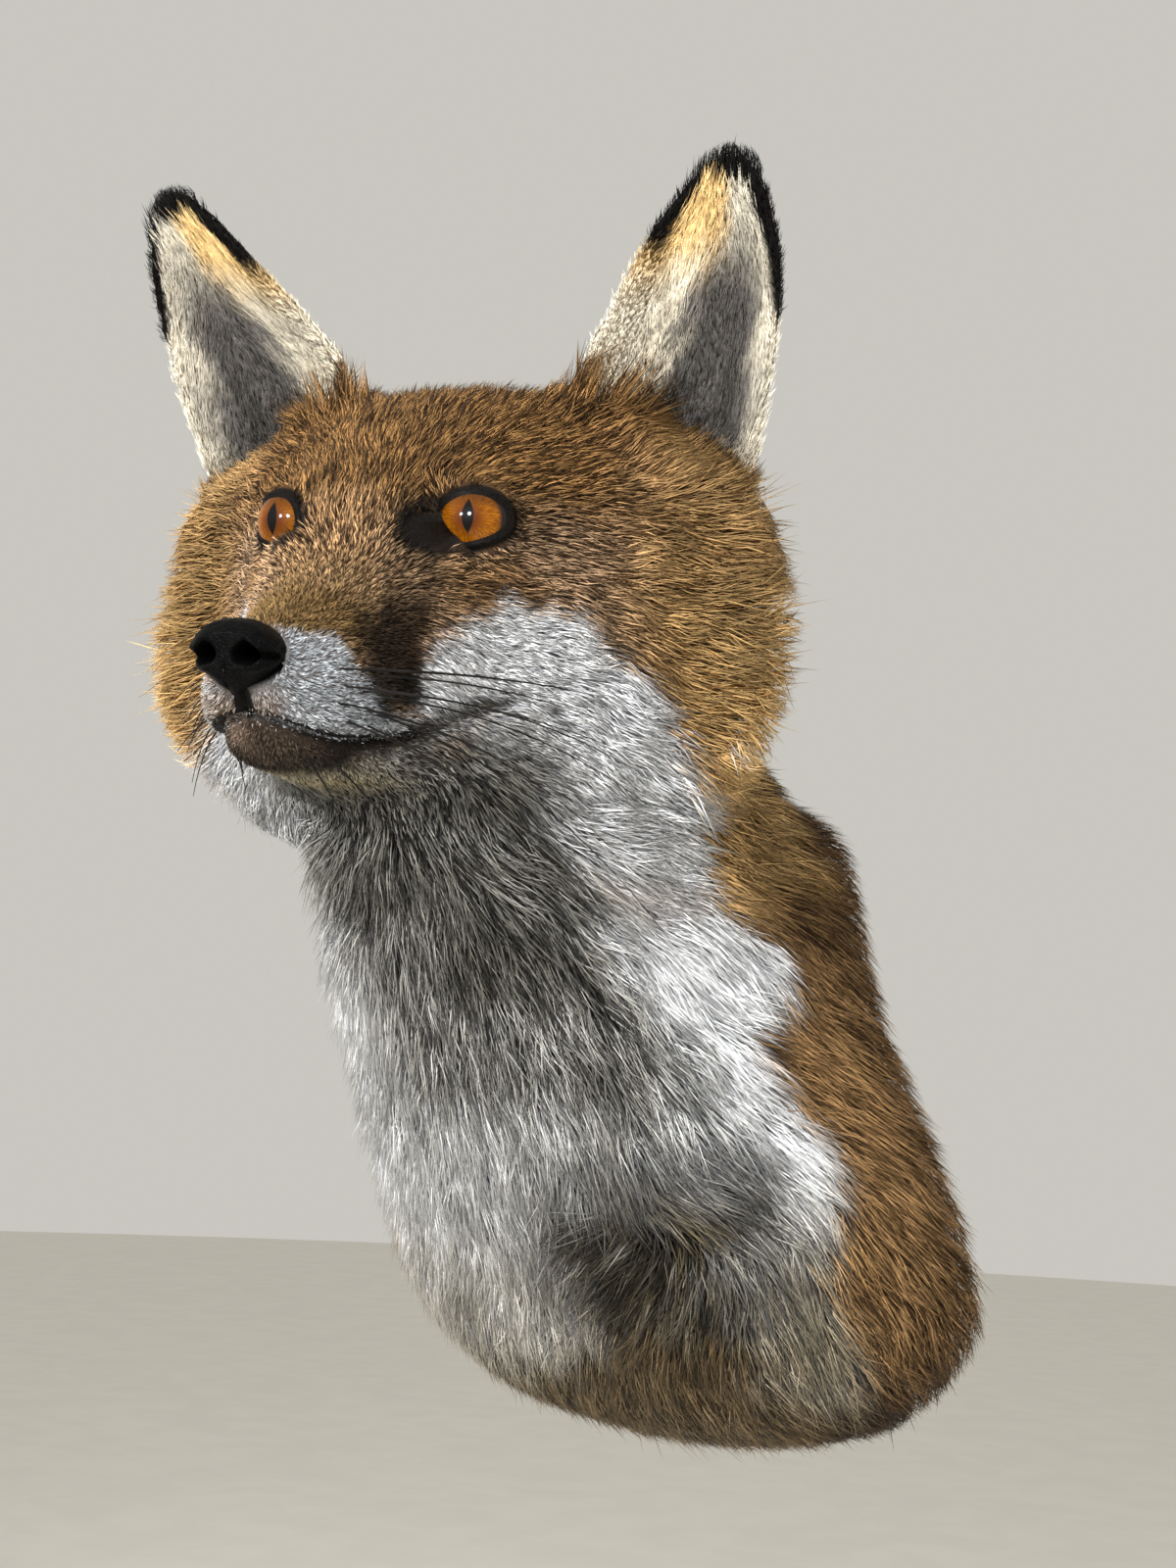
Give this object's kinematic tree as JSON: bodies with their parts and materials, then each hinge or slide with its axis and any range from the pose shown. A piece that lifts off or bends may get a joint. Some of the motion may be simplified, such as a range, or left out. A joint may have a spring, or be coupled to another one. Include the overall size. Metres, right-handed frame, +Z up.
{
  "type": "red fox shoulder mount",
  "caption": "Wall-hung taxidermy mount of a red fox: turned head with pricked ears, neck and chest in full coat on a wooden backboard.",
  "frame": {"origin": "middle of the backboard's flat back face, which lies in the wall plane", "axes": "+Z up, +Y into the wall, the fox looks toward -Y and a little toward +X, which is its own left"},
  "size_m": [0.2023, 0.2346, 0.3385],
  "materials": {
    "fur_red": "dense red-brown fur",
    "fur_grey": "grizzled grey and white fur",
    "ear_fur": "short velvet fur, black on the back",
    "jaw_fur": "short brown-grey fur",
    "nose_skin": "black pebbled leathery skin",
    "eye_glass": "polished glass eye with amber iris and slit pupil",
    "board_wood": "bare plywood",
    "hanger_steel": "zinc plated sheet"
  },
  "bodies": {
    "root": {"head": "fur_red", "lower_jaw": "jaw_fur", "nose_pad": "nose_skin", "ear_left": "ear_fur", "ear_right": "ear_fur", "eye_left": "eye_glass", "eye_right": "eye_glass", "neck": "fur_grey", "chest": "fur_grey", "backboard": "board_wood", "hanger": "hanger_steel"}
  },
  "joints": []
}
